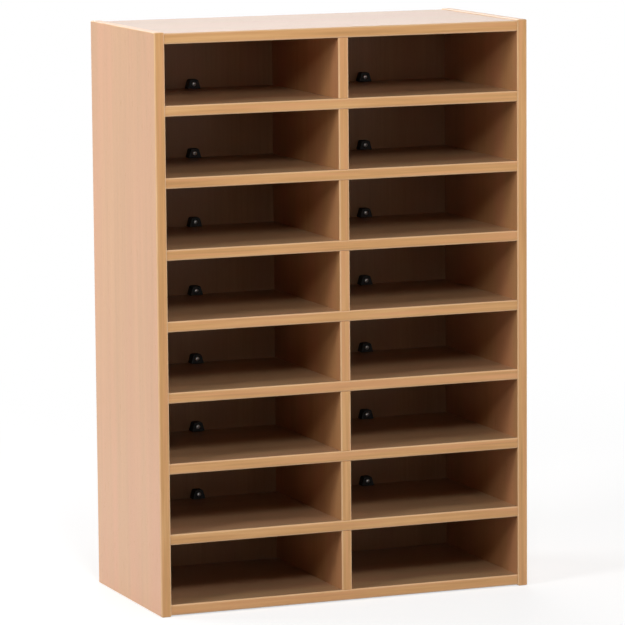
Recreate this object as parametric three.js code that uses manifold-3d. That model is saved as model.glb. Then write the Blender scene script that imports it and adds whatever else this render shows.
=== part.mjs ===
// Pigeonhole mail sorter: beech-faced chipboard, two columns of eight open compartments.
// Millimetres, +Z up. The origin is on the floor under the middle of the unit, and the front faces -Y.
import * as THREE from 'three';
import { mergeVertices } from 'three/addons/utils/BufferGeometryUtils.js';
import Module from 'manifold-3d';

// Driving dimensions of the carcass
const rows = 8;
const openingWidth = 310;
const openingHeight = 102;
const cabinetDepth = 325;
const boardThickness = 18;
const backThickness = 15;
const sideProjection = 2; // the sides pass the top and bottom panels by this much
const shelfSetback = 1.5; // shelf fronts behind the fronts of the sides
const dividerSetback = 0.5; // divider fronts behind the shelf fronts
const edgeRadius = 2; // rounded arrises of the edging
const glueLine = 0.1; // between faces of boards that are glued or pressed together
const backFit = 0.3; // round the edges of the back panel

// Dowels, the same size in every joint
const dowelDiameter = 8;
const dowelLength = 32;
const dowelInFace = 12; // how far a dowel goes into the face of a board
const dowelEdgeDistance = 50; // from the front or back of a joint to its first dowel
const dowelStagger = 24; // between the dowels above a shelf and those below it
const stubRoot = 6; // how deep a stub is rooted in its own board or block
const backDowels = 4; // along each edge of the back panel
const holeClearance = 0.3; // round a dowel, peg or screw
const holeEndClearance = 1; // past the end of a dowel, peg or screw

// Joint blocks between shelf and back, and their screws
const blockBaseWidth = 24;
const blockTopWidth = 15;
const blockCornerRadius = 4;
const blockDepth = 16;
const blockHeight = 16;
const blockOffCentre = 4; // from the middle of the compartment towards the divider
const pegDiameter = 5;
const pegLength = 8;
const pegSpacing = 11;
const screwHeight = 8; // screw axis above the shelf
const screwBite = 10.2; // how far a screw goes into the back panel
const screwDiameter = 4;
const screwTip = 4;
const screwHeadDiameter = 7.5;
const screwHeadHeight = 2.6;
const screwHeadRim = 0.9; // straight edge under the domed top of the head
const screwHeadPocket = 1.4; // depth of the pocket in the block that the head seats in
const crossLength = 4.4; // cross recess in the head
const crossWidth = 1.1;
const crossDepth = 1.5;

// Fineness of round shapes
const arrisSegments = 3;
const dowelSides = 8;
const screwSides = 10;

// Sizes and places that follow from the driving dimensions
const innerWidth = 2 * openingWidth + boardThickness;
const rowPitch = openingHeight + boardThickness;
const overallHeight = rows * rowPitch + boardThickness + 2 * sideProjection;
const sideFront = -cabinetDepth / 2;
const rear = cabinetDepth / 2;
const shelfFront = sideFront + shelfSetback;
const backFace = rear - backThickness;
const shelfRear = backFace - glueLine;
const dividerFront = shelfFront + dividerSetback;
const topUnderside = overallHeight - sideProjection - boardThickness;
const compartmentCentre = (openingWidth + boardThickness) / 2;
const blockOffset = compartmentCentre - blockOffCentre;

// Height of the board face under a row; row 1 is at the top
const floorOfRow = (row) => sideProjection + boardThickness + (rows - row) * rowPitch;

const alongX = new THREE.Vector3(1, 0, 0);
const alongY = new THREE.Vector3(0, 1, 0);
const alongZ = new THREE.Vector3(0, 0, 1);

const wasm = await Module();
wasm.setup();

const sorter = new THREE.Group();

const beechBoard = { color: 0xd9b48c, roughness: 0.5, metalness: 0 };
const beechDowel = { color: 0xd8b98a, roughness: 0.7, metalness: 0 };
const blackPlastic = { color: 0x161514, roughness: 0.45, metalness: 0 };
const zincPlate = { color: 0xb9bcc0, roughness: 0.35, metalness: 1 };

// A closed solid from a geometry, with its shared vertices merged
function solidOf(geometry) {
  geometry.deleteAttribute('normal');
  geometry.deleteAttribute('uv');
  const merged = mergeVertices(geometry);
  return new wasm.Manifold(new wasm.Mesh({
    numProp: 3,
    vertProperties: new Float32Array(merged.attributes.position.array),
    triVerts: new Uint32Array(merged.index.array),
  }));
}

// Adds a solid to the unit as one named mesh
function addPiece(name, solid, finish) {
  const mesh = solid.getMesh();
  const geometry = new THREE.BufferGeometry();
  geometry.setAttribute('position', new THREE.BufferAttribute(mesh.vertProperties, 3));
  geometry.setIndex(new THREE.BufferAttribute(mesh.triVerts, 1));
  geometry.computeVertexNormals();
  const piece = new THREE.Mesh(geometry, new THREE.MeshStandardMaterial(finish));
  piece.name = name;
  sorter.add(piece);
}

// A rod that starts at a point and runs along an axis, either way
function rod(start, axis, diameter, length, sides = dowelSides) {
  const geometry = new THREE.CylinderGeometry(diameter / 2, diameter / 2, Math.abs(length), sides);
  geometry.applyQuaternion(new THREE.Quaternion().setFromUnitVectors(alongY, axis));
  const middle = start.clone().addScaledVector(axis, length / 2);
  geometry.translate(middle.x, middle.y, middle.z);
  return solidOf(geometry);
}

// A stub glued into a board: it stands out from its face and is rooted inside the board
function stub(face, axis, diameter, length) {
  const root = -Math.sign(length) * stubRoot;
  return rod(face.clone().addScaledVector(axis, root), axis, diameter, length - root);
}

// The cutter for a blind hole that takes a stub, dowel, peg or screw of this size
function hole(face, axis, diameter, depth) {
  const mouth = -Math.sign(depth) * holeEndClearance;
  const length = depth - 2 * mouth;
  return rod(face.clone().addScaledVector(axis, mouth), axis, diameter + 2 * holeClearance, length);
}

const joined = (solid, additions) => additions.reduce((sum, part) => sum.add(part), solid);
const drilled = (solid, cutters) => cutters.reduce((rest, cutter) => rest.subtract(cutter), solid);

// Board section: front edge at y = front with two rounded arrises, square at the back
function boardSection(front, back) {
  const half = boardThickness / 2;
  const section = new THREE.Shape();
  section.moveTo(-half, back);
  section.lineTo(-half, front + edgeRadius);
  section.absarc(-half + edgeRadius, front + edgeRadius, edgeRadius, Math.PI, 1.5 * Math.PI);
  section.absarc(half - edgeRadius, front + edgeRadius, edgeRadius, 1.5 * Math.PI, 2 * Math.PI);
  section.lineTo(half, back);
  section.closePath();
  return section;
}

const extruded = (section, length) =>
  new THREE.ExtrudeGeometry(section, { depth: length, bevelEnabled: false, curveSegments: arrisSegments });

// An upright board, centred on x and standing on z = bottom
function uprightBoard(x, bottom, height, front, back) {
  const geometry = extruded(boardSection(front, back), height);
  geometry.translate(x, 0, bottom);
  return solidOf(geometry);
}

// A level board between the sides, with its upper face at z = top
function levelBoard(top, front, back) {
  const length = innerWidth - 2 * glueLine;
  const geometry = extruded(boardSection(front, back), length);
  geometry.rotateY(Math.PI / 2);
  geometry.translate(-length / 2, 0, top - boardThickness / 2);
  return solidOf(geometry);
}

// Places of the dowels, from the front of a joint to its back
const endDowels = (front, back) => [front + dowelEdgeDistance, back - dowelEdgeDistance];
const shelfDowels = endDowels(shelfFront, shelfRear);
const panelDowels = [shelfDowels[0], (shelfDowels[0] + shelfDowels[1]) / 2, shelfDowels[1]];
const dowelsOverShelf = endDowels(dividerFront, shelfRear);
const dowelsUnderShelf = endDowels(dividerFront + dowelStagger, shelfRear - dowelStagger);
const backDowelHeights = Array.from({ length: backDowels }, (_, index) =>
  THREE.MathUtils.lerp(floorOfRow(rows), topUnderside, (index + 0.5) / backDowels));
const backDowelDepth = rear - backThickness / 2;

// Middle heights of the level boards that are let into the sides
const panelHeights = [topUnderside + boardThickness / 2, sideProjection + boardThickness / 2];
const shelfRows = Array.from({ length: rows - 1 }, (_, index) => index + 1);
const shelfMiddle = (row) => floorOfRow(row) - boardThickness / 2;

// The sides: each has blind holes in its inner face for every board that meets it
function addSide(name, hand) {
  const face = hand * innerWidth / 2;
  const board = uprightBoard(face + hand * boardThickness / 2, 0, overallHeight, sideFront, rear);
  const places = [];
  for (const row of shelfRows) {
    for (const y of shelfDowels) {
      places.push(new THREE.Vector3(face, y, shelfMiddle(row)));
    }
  }
  for (const z of panelHeights) {
    for (const y of panelDowels) {
      places.push(new THREE.Vector3(face, y, z));
    }
  }
  for (const z of backDowelHeights) {
    places.push(new THREE.Vector3(face, backDowelDepth, z));
  }
  const cutters = places.map((place) => hole(place, alongX, dowelDiameter, hand * dowelInFace));
  addPiece(name, drilled(board, cutters), beechBoard);
}

// Holes for the dowels of a divider, in the board above it or below it
function dividerHoles(z, dowels, direction) {
  const depth = direction * dowelInFace;
  return dowels.map((y) => hole(new THREE.Vector3(0, y, z), alongZ, dowelDiameter, depth));
}

// Top and bottom panels: end holes for loose dowels, and holes for the divider next to them
function addEndPanel(name, middle, holes) {
  const board = levelBoard(middle + boardThickness / 2, shelfFront, rear);
  const end = innerWidth / 2 - glueLine;
  const cutters = [...holes];
  for (const hand of [-1, 1]) {
    for (const y of panelDowels) {
      const place = new THREE.Vector3(hand * end, y, middle);
      cutters.push(hole(place, alongX, dowelDiameter, -hand * (dowelLength - dowelInFace)));
    }
  }
  addPiece(name, drilled(board, cutters), beechBoard);
}

// Loose dowels of one end panel
function addPanelDowels(panel, middle) {
  for (const [side, hand] of [['left', -1], ['right', 1]]) {
    panelDowels.forEach((y, index) => {
      const inSide = new THREE.Vector3(hand * (innerWidth / 2 + dowelInFace), y, middle);
      const dowel = rod(inSide, alongX, dowelDiameter, -hand * dowelLength);
      addPiece(`${panel}_dowel_${side}_${index + 1}`, dowel, beechDowel);
    });
  }
}

// Centres of the two pegs under a joint block
function pegPlaces(hand, row) {
  const y = backFace - glueLine - blockDepth / 2;
  return [-1, 1].map((way) =>
    new THREE.Vector3(hand * blockOffset + way * pegSpacing / 2, y, floorOfRow(row)));
}

// A full-width shelf: dowels in its ends, holes for the dividers and for the pegs of its blocks
function addShelf(row) {
  const top = floorOfRow(row);
  const end = innerWidth / 2 - glueLine;
  const stubs = [];
  for (const hand of [-1, 1]) {
    for (const y of shelfDowels) {
      const place = new THREE.Vector3(hand * end, y, shelfMiddle(row));
      stubs.push(stub(place, alongX, dowelDiameter, hand * dowelInFace));
    }
  }
  const cutters = [
    ...dividerHoles(top, dowelsOverShelf, -1),
    ...dividerHoles(top - boardThickness, dowelsUnderShelf, 1),
  ];
  for (const hand of [-1, 1]) {
    for (const place of pegPlaces(hand, row)) {
      cutters.push(hole(place, alongZ, pegDiameter, -pegLength));
    }
  }
  const board = joined(levelBoard(top, shelfFront, shelfRear), stubs);
  addPiece(`shelf_${row}`, drilled(board, cutters), beechBoard);
}

// A short upright in the middle of a row, dowelled into the boards above and below it
function addDivider(row) {
  const bottom = floorOfRow(row) + glueLine;
  const top = floorOfRow(row) + openingHeight - glueLine;
  const board = uprightBoard(0, bottom, top - bottom, dividerFront, shelfRear);
  const lower = dowelsOverShelf.map((y) =>
    stub(new THREE.Vector3(0, y, bottom), alongZ, dowelDiameter, -dowelInFace));
  const upper = dowelsUnderShelf.map((y) =>
    stub(new THREE.Vector3(0, y, top), alongZ, dowelDiameter, dowelInFace));
  addPiece(`divider_${row}`, joined(board, [...lower, ...upper]), beechBoard);
}

// The back panel, inside the carcass and flush with its rear
function addBack() {
  const width = innerWidth - 2 * backFit;
  const bottom = floorOfRow(rows) + backFit;
  const height = topUnderside - backFit - bottom;
  const geometry = new THREE.BoxGeometry(width, backThickness, height);
  geometry.translate(0, rear - backThickness / 2, bottom + height / 2);
  const stubs = [];
  const cutters = [];
  for (const hand of [-1, 1]) {
    for (const z of backDowelHeights) {
      const place = new THREE.Vector3(hand * width / 2, backDowelDepth, z);
      stubs.push(stub(place, alongX, dowelDiameter, hand * dowelInFace));
    }
    for (const row of shelfRows) {
      const place = new THREE.Vector3(hand * blockOffset, backFace, floorOfRow(row) + screwHeight);
      cutters.push(hole(place, alongY, screwDiameter, screwBite));
    }
  }
  addPiece('back_panel', drilled(joined(solidOf(geometry), stubs), cutters), beechBoard);
}

// A moulded block in the corner of shelf and back: two pegs below, one screw hole through it
function blockSolid(hand, row) {
  const x = hand * blockOffset;
  const bottom = floorOfRow(row) + glueLine;
  const back = backFace - glueLine;
  const front = back - blockDepth;
  const baseHalf = blockBaseWidth / 2;
  const topHalf = blockTopWidth / 2;
  const flatHalf = topHalf - blockCornerRadius;
  const shoulder = blockHeight - blockCornerRadius;
  const shoulderHalf = THREE.MathUtils.lerp(baseHalf, topHalf, shoulder / blockHeight);
  const outline = new THREE.Shape();
  outline.moveTo(-baseHalf, 0);
  outline.lineTo(baseHalf, 0);
  outline.lineTo(shoulderHalf, shoulder);
  outline.quadraticCurveTo(topHalf, blockHeight, flatHalf, blockHeight);
  outline.lineTo(-flatHalf, blockHeight);
  outline.quadraticCurveTo(-topHalf, blockHeight, -shoulderHalf, shoulder);
  outline.closePath();
  const geometry = extruded(outline, blockDepth);
  geometry.rotateX(Math.PI / 2);
  geometry.translate(x, back, bottom);
  const pegs = pegPlaces(hand, row).map((place) =>
    stub(place.setZ(bottom), alongZ, pegDiameter, -pegLength));
  const axisStart = new THREE.Vector3(x, front, floorOfRow(row) + screwHeight);
  const bore = hole(axisStart, alongY, screwDiameter, blockDepth);
  const pocket = rod(axisStart.clone().setY(front - holeEndClearance), alongY,
    screwHeadDiameter + 2 * holeClearance, screwHeadPocket + holeEndClearance, screwSides);
  return drilled(joined(solidOf(geometry), pegs), [bore, pocket]);
}

// A pan-head screw with a cross recess, driven from the front of a block into the back panel
function screwSolid(hand, row) {
  const headRadius = screwHeadDiameter / 2;
  const shankRadius = screwDiameter / 2;
  const domeHeight = screwHeadHeight - screwHeadRim;
  const headSeat = backFace - glueLine - blockDepth + screwHeadPocket - glueLine;
  const length = backFace + screwBite - headSeat;
  const dome = new THREE.EllipseCurve(0, -screwHeadRim, headRadius, domeHeight, -Math.PI / 2, 0);
  const profile = [
    ...dome.getPoints(arrisSegments),
    new THREE.Vector2(headRadius, 0),
    new THREE.Vector2(shankRadius, 0),
    new THREE.Vector2(shankRadius, length - screwTip),
    new THREE.Vector2(0, length),
  ];
  const slots = [[crossLength, crossWidth], [crossWidth, crossLength]].map(([width, height]) => {
    const slot = new THREE.BoxGeometry(width, 2 * crossDepth, height);
    slot.translate(0, -screwHeadHeight, 0);
    return solidOf(slot);
  });
  const screw = drilled(solidOf(new THREE.LatheGeometry(profile, screwSides)), slots);
  return screw.translate([hand * blockOffset, headSeat, floorOfRow(row) + screwHeight]);
}

addSide('left_side', -1);
addSide('right_side', 1);
addEndPanel('top_panel', panelHeights[0], dividerHoles(topUnderside, dowelsUnderShelf, 1));
addEndPanel('bottom_panel', panelHeights[1], dividerHoles(floorOfRow(rows), dowelsOverShelf, -1));
addPanelDowels('top', panelHeights[0]);
addPanelDowels('bottom', panelHeights[1]);
addBack();
for (const row of shelfRows) {
  addShelf(row);
}
for (let row = 1; row <= rows; row += 1) {
  addDivider(row);
}
for (const row of shelfRows) {
  for (const [side, hand] of [['left', -1], ['right', 1]]) {
    addPiece(`joint_block_${row}_${side}`, blockSolid(hand, row), blackPlastic);
    addPiece(`block_screw_${row}_${side}`, screwSolid(hand, row), zincPlate);
  }
}

export default sorter;
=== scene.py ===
import math

import bmesh
import bpy
from mathutils import Matrix, Vector


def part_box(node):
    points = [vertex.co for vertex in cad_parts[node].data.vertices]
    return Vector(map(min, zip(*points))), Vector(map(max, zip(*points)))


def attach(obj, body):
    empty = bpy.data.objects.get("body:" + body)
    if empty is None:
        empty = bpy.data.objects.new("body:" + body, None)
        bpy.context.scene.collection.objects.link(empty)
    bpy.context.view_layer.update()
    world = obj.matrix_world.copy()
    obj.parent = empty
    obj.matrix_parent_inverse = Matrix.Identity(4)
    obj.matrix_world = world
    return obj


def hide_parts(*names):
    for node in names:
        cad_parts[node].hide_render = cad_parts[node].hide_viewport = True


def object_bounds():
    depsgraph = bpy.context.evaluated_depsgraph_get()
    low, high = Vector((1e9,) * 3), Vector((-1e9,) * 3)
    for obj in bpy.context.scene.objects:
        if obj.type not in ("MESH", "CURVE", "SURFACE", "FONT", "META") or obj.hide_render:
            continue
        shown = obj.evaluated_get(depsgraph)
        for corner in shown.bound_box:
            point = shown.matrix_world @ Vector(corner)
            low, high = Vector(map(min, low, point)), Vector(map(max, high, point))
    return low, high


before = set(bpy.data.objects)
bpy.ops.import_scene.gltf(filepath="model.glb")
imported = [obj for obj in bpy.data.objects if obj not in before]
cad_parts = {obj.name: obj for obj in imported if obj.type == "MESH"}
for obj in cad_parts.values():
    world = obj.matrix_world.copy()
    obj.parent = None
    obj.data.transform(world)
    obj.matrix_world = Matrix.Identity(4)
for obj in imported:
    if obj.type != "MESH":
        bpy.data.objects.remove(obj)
cad_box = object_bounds()


# The two sides: 18 mm particle board with a satin beech print pressed on both faces, cut to full height.
# All four edges carry a paler 2 mm plastic strip, glued on and scraped round, so the corners are soft.
# Every other board is dowelled between them, and the cabinet stands on their lower ends.
sideways, inward, upright = 0, 1, 2
strip_thickness = 0.002
strip_gap = 0.00005
arris_reach = 0.0036
arris_steps = 8
face_arris = 0.00012
weld_distance = 1e-7
sharp_angle = math.radians(35)

satin_refraction = 1.85
print_relief = 0.00004
print_tones = [
    (0.0, (0.51, 0.252, 0.102, 1)),
    (0.5, (0.60, 0.308, 0.132, 1)),
    (1.0, (0.68, 0.366, 0.168, 1)),
]
print_blush = (0.66, 0.298, 0.150, 1)
print_fleck = (0.47, 0.215, 0.090, 1)

strip_relief = 0.00004
strip_tones = [
    (0.0, (0.64, 0.321, 0.118, 1)),
    (0.5, (0.79, 0.420, 0.167, 1)),
    (1.0, (0.90, 0.525, 0.233, 1)),
]
strip_blush = (0.85, 0.420, 0.198, 1)
# Paler colour on the arrises: partly the whitening left by scraping, partly a painted highlight.
strip_scraped_and_highlight = (0.93, 0.63, 0.36, 1)

core_relief = 0.00025
board_core_chips = [
    (0.0, (0.30, 0.19, 0.10, 1)),
    (0.45, (0.52, 0.37, 0.22, 1)),
    (1.0, (0.70, 0.55, 0.36, 1)),
]


class Wire:
    """A shader socket. Arithmetic on it adds Math nodes to its tree, and node() adds any other node."""

    def __init__(self, tree, socket=None):
        self.tree = tree
        self.socket = socket

    def node(self, kind, settings, sockets, output=0):
        made = self.tree.nodes.new(kind)
        for name, value in settings.items():
            if name == "stops":
                self.set_stops(made.color_ramp, value)
            else:
                setattr(made, name, value)
        for name, value in sockets.items():
            if isinstance(value, Wire):
                self.tree.links.new(value.socket, made.inputs[name])
            else:
                made.inputs[name].default_value = value
        return Wire(self.tree, made.outputs[output] if made.outputs else None)

    def set_stops(self, ramp, stops):
        while len(ramp.elements) < len(stops):
            ramp.elements.new(1.0)
        for element, (position, colour) in zip(ramp.elements, stops):
            element.position = position
            element.color = colour

    def math(self, operation, first, second=0.0):
        return self.node("ShaderNodeMath", {"operation": operation}, {0: first, 1: second})

    def __add__(self, other):
        return self.math("ADD", self, other)

    def __sub__(self, other):
        return self.math("SUBTRACT", self, other)

    def __rsub__(self, other):
        return self.math("SUBTRACT", other, self)

    def __mul__(self, other):
        return self.math("MULTIPLY", self, other)

    __radd__ = __add__
    __rmul__ = __mul__

    def between(self, low, high):
        """0 where this is at low, 1 where it is at high, and smooth in between."""
        settings = {"interpolation_type": "SMOOTHSTEP", "clamp": True}
        return self.node("ShaderNodeMapRange", settings, {0: self, 1: low, 2: high, 3: 0.0, 4: 1.0})

    def noise(self, place, scale, detail=2.0, roughness=0.5):
        sockets = {"Vector": place, "Scale": scale, "Detail": detail, "Roughness": roughness}
        return self.node("ShaderNodeTexNoise", {}, sockets, "Fac")

    def ramp(self, stops):
        return self.node("ShaderNodeValToRGB", {"stops": stops}, {"Fac": self}, "Color")

    def mixed(self, first, second):
        """The colour first, turning into second as this goes from 0 to 1."""
        return self.node("ShaderNodeMix", {"data_type": "RGBA"}, {0: self, 6: first, 7: second}, 2)


def new_finish(name):
    material = bpy.data.materials.new(name)
    material.use_nodes = True
    material.node_tree.nodes.clear()
    return material, Wire(material.node_tree)


def own_place(wire):
    """Coordinates on the piece, moved for each piece so that no two show the same stretch of pattern."""
    farthest_move = (4.7, 9.1, 6.3)
    place = wire.node("ShaderNodeTexCoord", {}, {}, "Object")
    chance = wire.node("ShaderNodeObjectInfo", {}, {}, "Random")
    move = {0: chance, 1: farthest_move, 2: place}
    return wire.node("ShaderNodeVectorMath", {"operation": "MULTIPLY_ADD"}, move)


def drawn_out(wire, place, along, times):
    """Coordinates in which a pattern comes out many times longer along the grain than across it."""
    stretch = [1.0, 1.0, 1.0]
    stretch[along] = 1 / times
    return wire.node("ShaderNodeVectorMath", {"operation": "MULTIPLY"}, {0: place, 1: stretch})


def close_finish(wire, colour, roughness, height, depth, **fixed):
    """Joins colour, roughness and a relief of that depth in a Principled shader and the output."""
    bump = wire.node("ShaderNodeBump", {}, {"Height": height, "Strength": 1.0, "Distance": depth})
    sockets = {"Base Color": colour, "Roughness": roughness, "Normal": bump, **fixed}
    shader = wire.node("ShaderNodeBsdfPrincipled", {}, sockets)
    wire.node("ShaderNodeOutputMaterial", {}, {"Surface": shader})


def beech_print(name, along, refraction, tones, blush_tone):
    """Melamine printed as straight-grained beech: soft pink and tan bands, fine streaks, short flecks."""
    material, wire = new_finish(name)
    place = own_place(wire)
    blush = wire.noise(drawn_out(wire, place, along, times=10), scale=16, detail=1).between(0.40, 0.70)
    bands = wire.noise(drawn_out(wire, place, along, times=14), scale=24)
    streaks = wire.noise(drawn_out(wire, place, along, times=60), scale=210, detail=3, roughness=0.6)
    fibres = wire.noise(drawn_out(wire, place, along, times=40), scale=1300)
    cells = wire.node(
        "ShaderNodeTexVoronoi",
        {"feature": "F1"},
        {"Vector": drawn_out(wire, place, along, times=6), "Scale": 900, "Randomness": 1.0},
        "Distance",
    )
    flecks = cells.between(0.30, 0.12)
    tone = 0.5 + (bands - 0.5) * 0.9 + (streaks - 0.5) * 0.8 + (fibres - 0.5) * 0.4
    wood = (blush * 0.6).mixed(tone.ramp(tones), blush_tone)
    colour = (flecks * 0.5).mixed(wood, print_fleck)
    roughness = 0.30 + (fibres - 0.5) * 0.12 + flecks * 0.08
    close_finish(wire, colour, roughness, fibres * 0.5 - flecks, print_relief, IOR=refraction)
    return material


def edging_strip(name, along):
    """Beech-coloured plastic strip: lengthwise streaks, and paler along the arrises, partly from scraping
    and partly as a painted highlight.
    """
    material, wire = new_finish(name)
    place = own_place(wire)
    chance = wire.node("ShaderNodeObjectInfo", {}, {}, "Random")
    clouds = wire.noise(drawn_out(wire, place, along, times=20), scale=100)
    blush = wire.noise(drawn_out(wire, place, along, times=30), scale=130, detail=1).between(0.40, 0.70)
    streaks = wire.noise(drawn_out(wire, place, along, times=50), scale=260, detail=3, roughness=0.6)
    scuffs = wire.noise(drawn_out(wire, place, along, times=5), scale=140, detail=3)
    facing = wire.node("ShaderNodeNewGeometry", {}, {}, "Normal")
    size = wire.node("ShaderNodeVectorMath", {"operation": "ABSOLUTE"}, {0: facing})
    x, y, z = [wire.node("ShaderNodeSeparateXYZ", {}, {0: size}, way) for way in "XYZ"]
    flat = wire.math("MAXIMUM", wire.math("MAXIMUM", x, y), z)
    arris = flat.between(0.998, 0.93)
    # The arrises turn toward the paler colour: scraped whitening, and partly a painted highlight.
    scraped_and_highlight = arris * (0.3 + scuffs * 0.7)
    tone = 0.5 + (clouds - 0.5) * 1.3 + (streaks - 0.5) * 1.2 + (chance - 0.5) * 0.1
    plastic = (blush * 0.6).mixed(tone.ramp(strip_tones), strip_blush)
    colour = scraped_and_highlight.mixed(plastic, strip_scraped_and_highlight)
    roughness = 0.36 + (streaks - 0.5) * 0.15 - arris * 0.06
    close_finish(wire, colour, roughness, streaks * 0.6 + scuffs * 0.4, strip_relief)
    return material


def particle_board(name):
    """The raw core of a board, pressed from chips of mixed wood, as it shows on a sawn edge."""
    material, wire = new_finish(name)
    place = own_place(wire)
    chips = wire.node("ShaderNodeTexVoronoi", {"feature": "F1"}, {"Vector": place, "Scale": 520}, "Color")
    tone = wire.node("ShaderNodeSeparateXYZ", {}, {0: chips}, "X")
    dust = wire.noise(place, scale=1900, detail=3)
    colour = (tone * 0.7 + dust * 0.3).ramp(board_core_chips)
    close_finish(wire, colour, 0.85 + (dust - 0.5) * 0.2, tone + dust, core_relief)
    return material


satin_upright = beech_print("beech_satin_upright", upright, satin_refraction, print_tones, print_blush)
strip_upright = edging_strip("edging_strip_upright", upright)
strip_level = edging_strip("edging_strip_level", sideways)
strip_in_depth = edging_strip("edging_strip_in_depth", inward)
sawn_core = particle_board("sawn_particle_board")


def finished_mesh(name, bm, finishes):
    """The mesh of a finished piece: faces turned out, round stretches smooth, flat faces kept flat."""
    bmesh.ops.remove_doubles(bm, verts=bm.verts, dist=weld_distance)
    bmesh.ops.recalc_face_normals(bm, faces=bm.faces)
    for face in bm.faces:
        face.smooth = True
    mesh = bpy.data.meshes.new(name)
    bm.to_mesh(mesh)
    bm.free()
    mesh.set_sharp_from_angle(angle=sharp_angle)
    for finish in finishes:
        mesh.materials.append(finish)
    return mesh


def add_piece(name, mesh, node, place=(0, 0, 0)):
    piece = bpy.data.objects.new(name, mesh)
    piece.location = place
    bpy.context.scene.collection.objects.link(piece)
    flats = piece.modifiers.new("flat_faces", "WEIGHTED_NORMAL")
    flats.keep_sharp = True
    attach(piece, "root")
    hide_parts(node)


def board_mesh(name, low, high, thin, printed):
    """A sawn board from low to high: printed on the two faces across its thin way, raw on its edges."""
    bm = bmesh.new()
    bmesh.ops.create_cube(bm, size=1)
    bmesh.ops.scale(bm, vec=high - low, verts=bm.verts)
    bmesh.ops.translate(bm, vec=(low + high) / 2, verts=bm.verts)
    bmesh.ops.bevel(bm, geom=bm.edges, offset=face_arris, segments=1, affect="EDGES")
    for face in bm.faces:
        face.material_index = 0 if abs(face.normal[thin]) > 0.5 else 1
    return finished_mesh(name, bm, [printed, sawn_core])


quarter_turn = [math.radians(90 * step / arris_steps) for step in range(arris_steps + 1)]


def sweep_strip(bm, stations, across, width, finish=0):
    """An edging strip swept through stations, each a middle point of the glue face and the way out."""
    side = []
    for a in quarter_turn:
        side.append((width / 2 - arris_reach * (1 - math.cos(a)), strip_thickness * math.sin(a)))
    section = [(-offset, out) for offset, out in side] + [(offset, out) for offset, out in reversed(side)]
    rings = []
    for middle, outward in stations:
        rings.append([bm.verts.new(middle + across * offset + outward * out) for offset, out in section])
    faces = [bm.faces.new(rings[0]), bm.faces.new(rings[-1])]
    for first, second in zip(rings, rings[1:]):
        for i in range(len(section)):
            j = (i + 1) % len(section)
            faces.append(bm.faces.new((first[i], first[j], second[j], second[i])))
    for face in faces:
        face.material_index = finish


X, Y, Z = Vector((1, 0, 0)), Vector((0, 1, 0)), Vector((0, 0, 1))
inset = strip_thickness + strip_gap
for hand in ("left", "right"):
    node = f"{hand}_side"
    low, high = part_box(node)
    near, far = low + (Y + Z) * inset, high - (Y + Z) * inset
    board = board_mesh(f"{node}_board", near, far, sideways, satin_upright)
    add_piece(f"{node}_board", board, node)

    bm = bmesh.new()
    middle = X * (low.x + high.x) / 2
    thickness = high.x - low.x
    floor, roof = low.z + strip_thickness, high.z - strip_thickness
    for depth, way in ((low.y + strip_thickness, -Y), (high.y - strip_thickness, Y)):
        turns = [(floor, way * math.sin(a) - Z * math.cos(a)) for a in quarter_turn]
        turns += [(roof, way * math.cos(a) + Z * math.sin(a)) for a in quarter_turn]
        stations = [(middle + Y * depth + Z * height, outward) for height, outward in turns]
        sweep_strip(bm, stations, X, thickness, finish=0)
    for height, way in ((floor, -Z), (roof, Z)):
        ends = (low.y + inset, high.y - inset)
        stations = [(middle + Y * depth + Z * height, way) for depth in ends]
        sweep_strip(bm, stations, X, thickness, finish=1)
    edging = finished_mesh(f"{node}_edging", bm, [strip_upright, strip_in_depth])
    add_piece(f"{node}_edging", edging, node)


# The top and bottom panels: boards of the same kind, cut to fit between the sides and held by dowels.
# Their front and rear edges carry the same strip, level with the fronts of the shelves. The top is satin,
# a little less glossy than the sides, and the bottom has the matt print of the shelves, whose tones are
# painted darker and greyer as shade.
top_refraction = 1.60
matt_refraction = 1.33
# Darker, greyer copies of the print tones: painted shade for the inside of the cabinet, used on the
# shelves, the bottom and the back.
shelf_tones_painted_shade = [
    (0.0, (0.39, 0.225, 0.112, 1)),
    (0.5, (0.465, 0.278, 0.146, 1)),
    (1.0, (0.53, 0.328, 0.180, 1)),
]
shelf_blush_painted_shade = (0.50, 0.270, 0.152, 1)
satin_level = beech_print("beech_satin_level", sideways, top_refraction, print_tones, print_blush)
matt_level = beech_print("beech_matt_level", sideways, matt_refraction, shelf_tones_painted_shade, shelf_blush_painted_shade)
left_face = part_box("left_side")[1].x + strip_gap
right_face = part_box("right_side")[0].x - strip_gap
for node, finish in (("top_panel", satin_level), ("bottom_panel", matt_level)):
    low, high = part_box(node)
    near = Vector((left_face, low.y + inset, low.z))
    far = Vector((right_face, high.y - inset, high.z))
    board = board_mesh(f"{node}_board", near, far, upright, finish)
    add_piece(f"{node}_board", board, node)

    bm = bmesh.new()
    height = (low.z + high.z) / 2
    for depth, way in ((low.y + strip_thickness, -Y), (high.y - strip_thickness, Y)):
        stations = [(Vector((x, depth, height)), way) for x in (left_face, right_face)]
        sweep_strip(bm, stations, Z, high.z - low.z)
    edging = finished_mesh(f"{node}_edging", bm, [strip_level])
    add_piece(f"{node}_edging", edging, node)


# The dowels of the top and bottom panels: fluted beech pins, glued half into the panel's end and half
# into the side. Once the cabinet is together they are out of sight.
dowel_relief = 0.0002
dowel_tones = [
    (0.0, (0.50, 0.32, 0.17, 1)),
    (0.5, (0.66, 0.46, 0.27, 1)),
    (1.0, (0.76, 0.57, 0.37, 1)),
]


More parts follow.
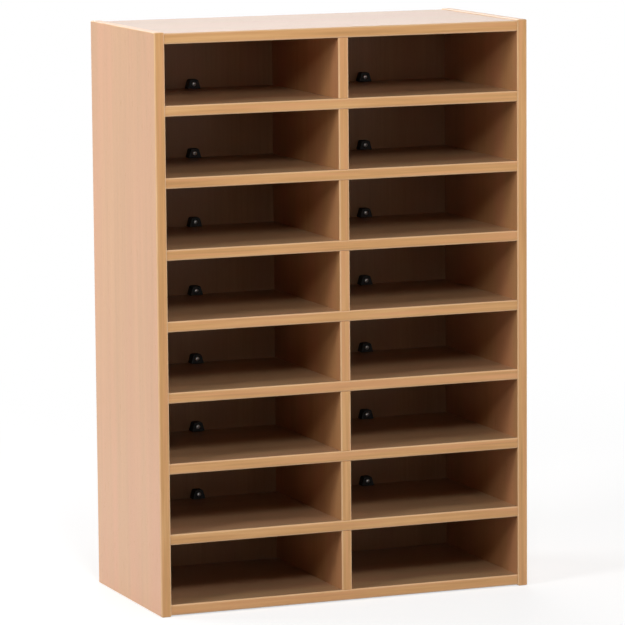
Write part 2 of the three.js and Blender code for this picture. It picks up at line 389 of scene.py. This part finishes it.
def bare_beech(name):
    """Unsealed beech turned along X, with the flutes that let the glue pass."""
    material, wire = new_finish(name)
    place = own_place(wire)
    fibres = wire.noise(drawn_out(wire, place, sideways, times=30), scale=1500, detail=3)
    flutes = wire.noise(drawn_out(wire, place, sideways, times=400), scale=700, detail=0)
    roughness = 0.7 + (fibres - 0.5) * 0.2
    close_finish(wire, fibres.ramp(dowel_tones), roughness, fibres * 0.3 + flutes, dowel_relief)
    return material


dowel_beech = bare_beech("bare_beech")
for panel in ("top", "bottom"):
    for hand in ("left", "right"):
        for number in (1, 2, 3):
            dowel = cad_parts[f"{panel}_dowel_{hand}_{number}"]
            dowel.material_slots[0].material = dowel_beech


# The seven shelves: full-width boards between the sides, dowelled at both ends, with the print in matt.
# Only the front edge shows, so only that one carries a strip.
shelf_count = 7
low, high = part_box("shelf_1")
shelf_low = Vector((left_face, low.y + inset, 0))
shelf_high = Vector((right_face, high.y, high.z - low.z))
shelf_board = board_mesh("shelf_board", shelf_low, shelf_high, upright, matt_level)
bm = bmesh.new()
shelf_front = low.y + strip_thickness
stations = [(Vector((x, shelf_front, shelf_high.z / 2)), -Y) for x in (left_face, right_face)]
sweep_strip(bm, stations, Z, shelf_high.z)
shelf_edging = finished_mesh("shelf_edging", bm, [strip_level])
for number in range(1, shelf_count + 1):
    node = f"shelf_{number}"
    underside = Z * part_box(node)[0].z
    add_piece(f"{node}_board", shelf_board, node, underside)
    add_piece(f"{node}_edging", shelf_edging, node, underside)


# The eight dividers: short uprights in the middle of each row, dowelled into the boards above and below.
# They stand a hair behind the shelf fronts, which leaves a fine dark joint at each end.
matt_upright = beech_print("beech_matt_upright", upright, matt_refraction, print_tones, print_blush)
row_floors = [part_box(f"shelf_{number}")[1].z for number in range(1, shelf_count + 1)]
row_floors.append(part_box("bottom_panel")[1].z)
first_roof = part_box("top_panel")[0].z
divider_height = first_roof - row_floors[0] - 2 * strip_gap
low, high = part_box("divider_1")
divider_low = Vector((low.x, low.y + inset, 0))
divider_high = Vector((high.x, high.y, divider_height))
divider_board = board_mesh("divider_board", divider_low, divider_high, sideways, matt_upright)
bm = bmesh.new()
stations = [(Vector((0, low.y + strip_thickness, z)), -Y) for z in (0, divider_height)]
sweep_strip(bm, stations, X, high.x - low.x)
divider_edging = finished_mesh("divider_edging", bm, [strip_upright])
for number, row_floor in enumerate(row_floors, 1):
    node = f"divider_{number}"
    foot = Z * (row_floor + strip_gap)
    add_piece(f"{node}_board", divider_board, node, foot)
    add_piece(f"{node}_edging", divider_edging, node, foot)


# The back panel: a thinner board with the matt print, inside the sides, top and bottom and level with
# their rear edges. Dowels hold it to the sides, and the joint blocks hold it to the shelves.
back_fit = 0.0003
# The back's print tones, painted darker than the sides' as shade deep in the compartments.
back_tones_painted_shade = [
    (0.0, (0.42, 0.233, 0.112, 1)),
    (0.5, (0.50, 0.290, 0.146, 1)),
    (1.0, (0.57, 0.345, 0.183, 1)),
]
matt_back = beech_print("beech_matt_back", upright, matt_refraction, back_tones_painted_shade, shelf_blush_painted_shade)
low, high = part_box("back_panel")
back_low = Vector((left_face + back_fit, low.y, low.z))
back_high = Vector((right_face - back_fit, high.y, high.z))
back_board = board_mesh("back_panel_board", back_low, back_high, inward, matt_back)
add_piece("back_panel_board", back_board, "back_panel")


# The joint blocks: small black mouldings in the corner of shelf and back, two to a shelf.
# Each has a round-shouldered, tapering outline, a parting ridge and a sunk seat for its screw.
block_base = 0.024
block_top = 0.015
block_height = 0.016
block_depth = 0.016
shoulder_radius = 0.004
foot_radius = 0.0008
corner_steps = 5
block_lift = 0.0001
rear_break = foot_radius / 3
front_radius = 0.0012
front_steps = 4
parting_ridge = 0.00015
screw_height = 0.008
seat_radius = 0.00405
seat_depth = 0.0014
seat_chamfer = 0.0004
bore_radius = 0.00215
moulded_refraction = 1.36
moulded_relief = 0.00006
moulded_black = [(0.0, (0.006, 0.005, 0.004, 1)), (1.0, (0.016, 0.0145, 0.012, 1))]
settled_dust = (0.060, 0.054, 0.046, 1)


def moulded_plastic(name):
    """Black polypropylene from an eroded mould: fine matt grain, with a little dust on what faces up."""
    material, wire = new_finish(name)
    place = own_place(wire)
    grain = wire.noise(place, scale=3200)
    flow = wire.noise(place, scale=160)
    facing = wire.node("ShaderNodeNewGeometry", {}, {}, "Normal")
    upward = wire.node("ShaderNodeSeparateXYZ", {}, {0: facing}, "Z").between(0.3, 1.0)
    dust = upward * (0.15 + flow * 0.3)
    colour = dust.mixed((0.4 * grain + 0.6 * flow).ramp(moulded_black), settled_dust)
    roughness = 0.50 + (grain - 0.5) * 0.2 + dust * 0.4
    close_finish(wire, colour, roughness, grain, moulded_relief, IOR=moulded_refraction)
    return material


def rounded(corners, steps):
    """A closed outline through corners, each (x, z, radius), with an arc in place of each corner."""
    outline = []
    for i, (x, z, radius) in enumerate(corners):
        corner = Vector((x, z))
        before = (Vector(corners[i - 1][:2]) - corner).normalized()
        after = (Vector(corners[(i + 1) % len(corners)][:2]) - corner).normalized()
        half = before.angle(after) / 2
        centre = corner + (before + after).normalized() * radius / math.sin(half)
        start = corner + before * radius / math.tan(half) - centre
        end = corner + after * radius / math.tan(half) - centre
        turn = start.angle_signed(end)
        for step in range(steps + 1):
            outline.append(centre + Matrix.Rotation(-turn * step / steps, 2) @ start)
    return outline


def join_rings(bm, rings, closed=False):
    """Quads between successive rings of points, and either caps on both ends or a join of the two."""
    loops = [[bm.verts.new(point) for point in ring] for ring in rings]
    pairs = list(zip(loops, loops[1:]))
    if closed:
        pairs.append((loops[-1], loops[0]))
    else:
        bm.faces.new(loops[0])
        bm.faces.new(loops[-1])
    for first, second in pairs:
        for i in range(len(first)):
            j = (i + 1) % len(first)
            bm.faces.new((first[i], first[j], second[j], second[i]))


block_corners = [
    (-block_base / 2, 0, foot_radius),
    (block_base / 2, 0, foot_radius),
    (block_top / 2, block_height, shoulder_radius),
    (-block_top / 2, block_height, shoulder_radius),
]
axis = Vector((0, screw_height - block_lift))
spokes = [point - axis for point in rounded(block_corners, corner_steps)]


def block_ring(depth, shrink):
    """The block's outline at that depth, drawn in towards the screw's axis."""
    points = [axis + spoke * (1 - shrink / spoke.length) for spoke in spokes]
    return [Vector((point.x, depth, point.y)) for point in points]


def round_ring(depth, radius):
    points = [axis + spoke.normalized() * radius for spoke in spokes]
    return [Vector((point.x, depth, point.y)) for point in points]


front = -block_depth
parting = front / 2
rings = [block_ring(0, rear_break), block_ring(-rear_break, 0)]
rings += [block_ring(parting + parting_ridge, 0), block_ring(parting, -parting_ridge)]
rings += [block_ring(parting - parting_ridge, 0)]
for step in range(front_steps + 1):
    turn = math.radians(90 * step / front_steps)
    drawn_in = front_radius * (1 - math.cos(turn))
    rings.append(block_ring(front + front_radius * (1 - math.sin(turn)), drawn_in))
rings += [round_ring(front, seat_radius + seat_chamfer), round_ring(front + seat_chamfer, seat_radius)]
rings += [round_ring(front + seat_depth, seat_radius), round_ring(front + seat_depth, bore_radius)]
rings.append(round_ring(0, bore_radius))
bm = bmesh.new()
join_rings(bm, rings, closed=True)
block_mesh = finished_mesh("joint_block", bm, [moulded_plastic("moulded_black_plastic")])
block_places = []
for number in range(1, shelf_count + 1):
    for hand in ("left", "right"):
        node = f"joint_block_{number}_{hand}"
        low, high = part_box(node)
        block_place = Vector(((low.x + high.x) / 2, high.y, row_floors[number - 1] + block_lift))
        add_piece(node.replace("joint_block", "block"), block_mesh, node, block_place)
        block_places.append((number, hand, block_place))


# The block screws: zinc-plated pan heads with a cross recess, driven through the block into the back.
# Only the domed head shows, sitting in the block's seat.
head_radius = 0.00375
head_height = 0.0026
head_rim = 0.0009
head_steps = 7
rim_break_height = 0.4
seat_face = 0.97
recess_length = 0.0036
recess_width = 0.0009
recess_depth = 0.0013
recess_taper = 0.75
recess_lip = 1.08
recess_edge_height = 0.985
least_sine = 1e-6
shank_radius = 0.0019
shank_length = 0.024
tip_length = 0.004
tip_taper = 0.1
ring_bearings = (0, 7, 14.04, 20, 28, 36, 45, 54, 62, 70, 75.96, 83)
turning_rings = 26000
plating_relief = 0.00002
zinc_tones = [
    (0.0, (0.55, 0.55, 0.55, 1)),
    (0.5, (0.72, 0.71, 0.69, 1)),
    (1.0, (0.82, 0.81, 0.78, 1)),
]
# Painted shade: the colour that the cross recess is darkened to, within these depths and reaches.
recess_painted_shade = (0.14, 0.13, 0.12, 1)
painted_shade_depth = (0.0004, 0.0009)
painted_shade_reach = (0.0024, 0.0020)


def zinc_plate(name):
    """Bright zinc plating with faint turning rings round the head, with painted shade darkening the
    recess, which is also rougher.
    """
    material, wire = new_finish(name)
    place = wire.node("ShaderNodeTexCoord", {}, {}, "Object")
    clouds = wire.noise(place, scale=700, detail=3)
    flat = wire.node("ShaderNodeVectorMath", {"operation": "MULTIPLY"}, {0: place, 1: (1, 0, 1)})
    reach = wire.node("ShaderNodeVectorMath", {"operation": "LENGTH"}, {0: flat}, "Value")
    rings = wire.math("SINE", reach * turning_rings)
    down = wire.node("ShaderNodeSeparateXYZ", {}, {0: place}, "Y")
    below_edge = down.between(painted_shade_depth[0] - head_height, painted_shade_depth[1] - head_height)
    # Painted shade in the cross recess: below the head's top and near the axis, the colour turns dark.
    painted_shade_in_recess = below_edge * reach.between(*painted_shade_reach)
    colour = painted_shade_in_recess.mixed(clouds.ramp(zinc_tones), recess_painted_shade)
    roughness = 0.40 + (clouds - 0.5) * 0.2 + painted_shade_in_recess * 0.2
    close_finish(wire, colour, roughness, rings * 0.2 + clouds, plating_relief, Metallic=1.0)
    return material


bearings = [math.radians(90 * turn + angle) for turn in range(4) for angle in ring_bearings]


def screw_ring(depth, radius):
    """A ring of the screw: radius is a number, or a function of the bearing."""
    ring = []
    for bearing in bearings:
        reach = radius(bearing) if callable(radius) else radius
        ring.append(Vector((reach * math.cos(bearing), depth, reach * math.sin(bearing))))
    return ring


def recess_reach(bearing):
    """How far the edge of the cross recess is from the axis."""
    turn = (bearing + math.radians(45)) % math.radians(90) - math.radians(45)
    arm = recess_length / 2 / math.cos(turn)
    return min(arm, recess_width / 2 / max(abs(math.sin(turn)), least_sine))


dome = head_height - head_rim
dome_start = recess_length / 2 * recess_lip
rings = [screw_ring(recess_depth - head_height, lambda bearing: recess_reach(bearing) * recess_taper)]
rings.append(screw_ring(-head_height * recess_edge_height, recess_reach))
for step in range(1, head_steps + 1):
    reach = dome_start + (head_radius - dome_start) * step / head_steps
    rings.append(screw_ring(-head_rim - dome * math.sqrt(max(0.0, 1 - (reach / head_radius) ** 2)), reach))
rings += [screw_ring(-head_rim * rim_break_height, head_radius), screw_ring(0, head_radius * seat_face)]
rings += [screw_ring(0, shank_radius), screw_ring(shank_length - tip_length, shank_radius)]
rings.append(screw_ring(shank_length, shank_radius * tip_taper))
bm = bmesh.new()
join_rings(bm, rings)
screw_mesh = finished_mesh("block_screw", bm, [zinc_plate("zinc_plate")])
for number, hand, block_place in block_places:
    node = f"block_screw_{number}_{hand}"
    seat = block_place + Vector((0, seat_depth - block_depth, screw_height - block_lift))
    add_piece(node.replace("block_screw", "screw"), screw_mesh, node, seat)


# The studio: a plain white floor that takes the cabinet's soft shadow, and a white surround.
# Camera, glossy and transmitted rays see the surround at full white; for lighting it is dim.
floor_radius = 14.0
floor_sides = 96
floor_drop = 0.0002
shadow_radius = (0.9, 2.4)
floor_paint = (0.55, 0.55, 0.55, 1)
floor_lift = 0.64
white = (1, 1, 1, 1)
surround_light = 0.005


def seen_directly(wire):
    """1 for the rays that show a thing as it is, 0 for those that carry light to a surface."""
    rays = ("Is Camera Ray", "Is Glossy Ray", "Is Transmission Ray")
    camera, glossy, through = [wire.node("ShaderNodeLightPath", {}, {}, name) for name in rays]
    scattered = wire.node("ShaderNodeLightPath", {}, {}, "Diffuse Depth")
    unscattered = wire.math("LESS_THAN", scattered, 0.5)
    return wire.math("MINIMUM", camera + glossy + through, 1.0) * unscattered


def studio_floor(name):
    """Pale paint that shows the shadow near the cabinet, and turns into plain white farther off."""
    material, wire = new_finish(name)
    place = wire.node("ShaderNodeTexCoord", {}, {}, "Object")
    reach = wire.node("ShaderNodeVectorMath", {"operation": "LENGTH"}, {0: place}, "Value")
    painted = wire.node("ShaderNodeBsdfDiffuse", {}, {"Color": floor_paint})
    lifted = wire.node("ShaderNodeEmission", {}, {"Color": white, "Strength": floor_lift})
    near = wire.node("ShaderNodeAddShader", {}, {0: painted, 1: lifted})
    far = wire.node("ShaderNodeEmission", {}, {"Color": white, "Strength": 1.0})
    shown = wire.node("ShaderNodeMixShader", {}, {0: reach.between(*shadow_radius), 1: near, 2: far})
    surface = wire.node("ShaderNodeMixShader", {}, {0: seen_directly(wire), 1: painted, 2: shown})
    wire.node("ShaderNodeOutputMaterial", {}, {"Surface": surface})
    return material


bm = bmesh.new()
bmesh.ops.create_circle(bm, cap_ends=True, segments=floor_sides, radius=floor_radius)
floor_mesh = bpy.data.meshes.new("studio_floor")
bm.to_mesh(floor_mesh)
bm.free()
floor_mesh.materials.append(studio_floor("studio_floor"))
studio = bpy.data.objects.new("studio_floor", floor_mesh)
studio.location = (0, 0, cad_box[0][2] - floor_drop)
bpy.context.scene.collection.objects.link(studio)

world = bpy.data.worlds.new("studio_surround")
world.use_nodes = True
world.node_tree.nodes.clear()
wire = Wire(world.node_tree)
dim = wire.node("ShaderNodeBackground", {}, {"Color": white, "Strength": surround_light})
bright = wire.node("ShaderNodeBackground", {}, {"Color": white, "Strength": 1.0})
surround = wire.node("ShaderNodeMixShader", {}, {0: seen_directly(wire), 1: dim, 2: bright})
wire.node("ShaderNodeOutputWorld", {}, {"Surface": surround})
bpy.context.scene.world = world


# The lamps: softboxes round the cabinet, each given by its bearing from the front towards the left, its
# height in degrees, its distance, its side, and the light that it puts on a surface facing it, where 1
# shows white as white. The strong ones stay out of mirror reflections, which show the white surround.
lit_middle = Vector((0, 0, 0.5))
softboxes = {
    "left_rear": (125, 7, 3.5, 2.0, 0.655),
    "left_high": (72, 25, 5.0, 1.2, 0.325),
    "front_high": (15, 31, 3.5, 0.6, 0.29),
    "front_low": (10, 10, 4.0, 1.0, 0.022),
    "right": (-73, 3, 4.0, 2.0, 0.46),
    "overhead": (0, 60, 3.5, 1.0, 0.10),
    "rear": (-165, 39, 3.5, 2.0, 0.28),
}
mirrored = ("front_low", "overhead", "rear")
for name, (bearing, height, distance, side, level) in softboxes.items():
    lamp = bpy.data.lights.new(name, "AREA")
    lamp.shape = "SQUARE"
    lamp.size = side
    lamp.energy = level * math.pi ** 2 * distance ** 2
    softbox = bpy.data.objects.new(name, lamp)
    turn = Matrix.Rotation(math.radians(-bearing), 3, "Z") @ Matrix.Rotation(math.radians(-height), 3, "X")
    toward = turn @ -Y
    softbox.location = lit_middle + toward * distance
    softbox.rotation_euler = toward.to_track_quat("Z", "Y").to_euler()
    softbox.visible_glossy = name in mirrored
    bpy.context.scene.collection.objects.link(softbox)


# The camera: to the left of the front and a little above the cabinet, with a long lens on a square
# picture. Heading, pitch and roll are in degrees, the lens and its sensor in millimetres.
camera_place = (-2.6835, -6.7538, 1.4853)
camera_heading = 21.70
camera_pitch = 7.90
camera_roll = 0.467
sensor_width = 36
focal_length = 244.912
lens = bpy.data.cameras.new("camera")
lens.sensor_width = sensor_width
lens.lens = focal_length
camera = bpy.data.objects.new("camera", lens)
heading = Matrix.Rotation(math.radians(-camera_heading), 4, "Z")
pitch = Matrix.Rotation(math.radians(90 - camera_pitch), 4, "X")
roll = Matrix.Rotation(math.radians(-camera_roll), 4, "Z")
camera.matrix_world = Matrix.Translation(camera_place) @ heading @ pitch @ roll
bpy.context.scene.collection.objects.link(camera)
bpy.context.scene.camera = camera
bpy.context.scene.view_settings.view_transform = "Standard"
